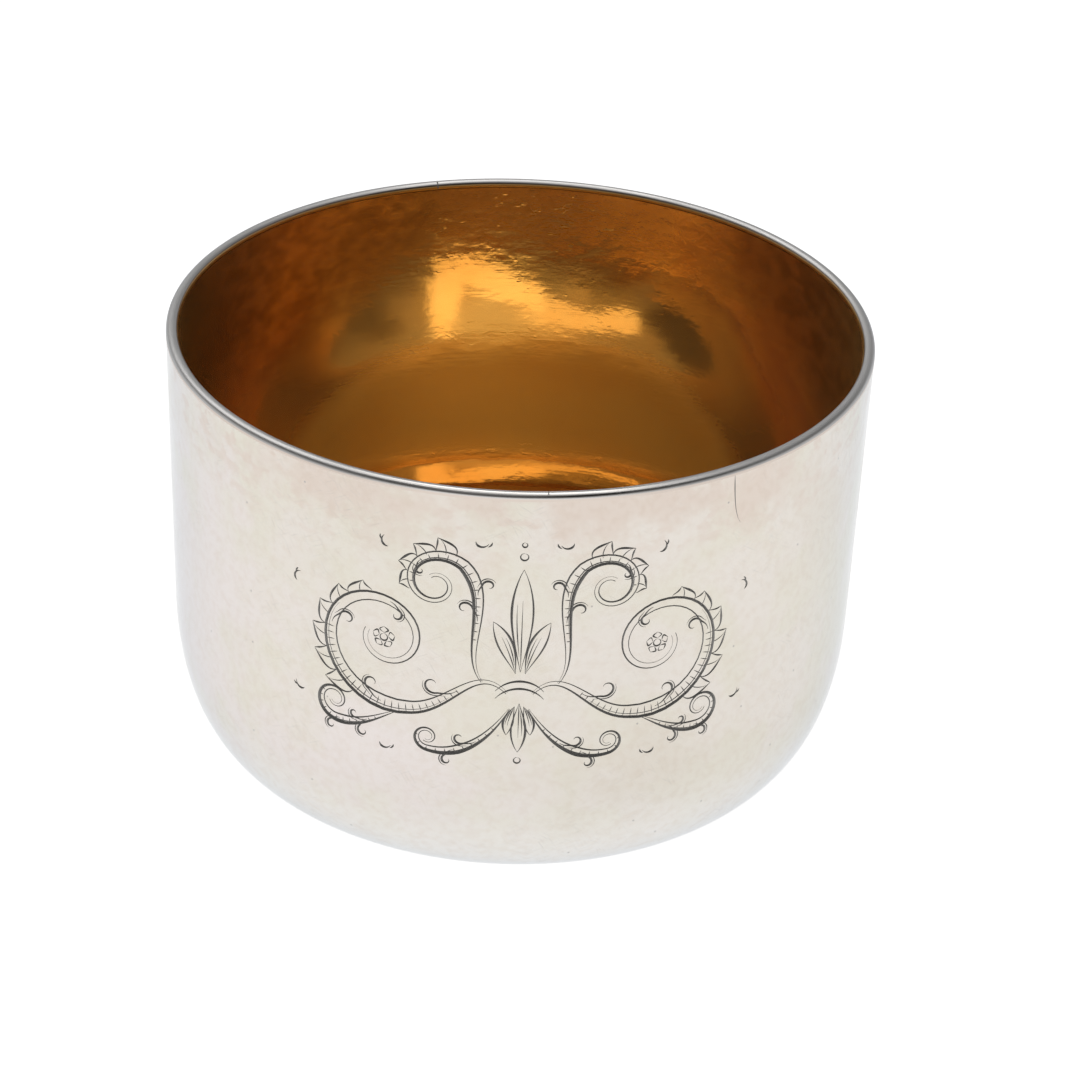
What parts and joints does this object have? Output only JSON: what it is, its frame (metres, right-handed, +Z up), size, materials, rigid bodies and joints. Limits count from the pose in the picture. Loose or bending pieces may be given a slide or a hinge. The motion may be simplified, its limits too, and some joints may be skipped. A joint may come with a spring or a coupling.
{
  "type": "tumbler",
  "caption": "Round-bellied silver tumbler with straight, slightly tapering sides, a half-round lip and a gilt inside: an open drinking cup that stands on its flat base.",
  "frame": {"origin": "centre of the flat base that the tumbler stands on", "axes": "+Z up along the axis of the cup, -Y towards the engraved front"},
  "size_m": [0.076, 0.076, 0.051],
  "materials": {
    "silver": "hand-polished silver with fine hairline scratches, faint warm tarnish and small pits",
    "lip_silver": "worn polished silver, a little greyer than the bowl",
    "gilt": "worn polished gilding, deep amber, with slight waves left by the hammer"
  },
  "bodies": {
    "root": {"silver_bowl": "silver", "lip_wire": "lip_silver", "gilt_lining": "gilt"}
  },
  "joints": []
}
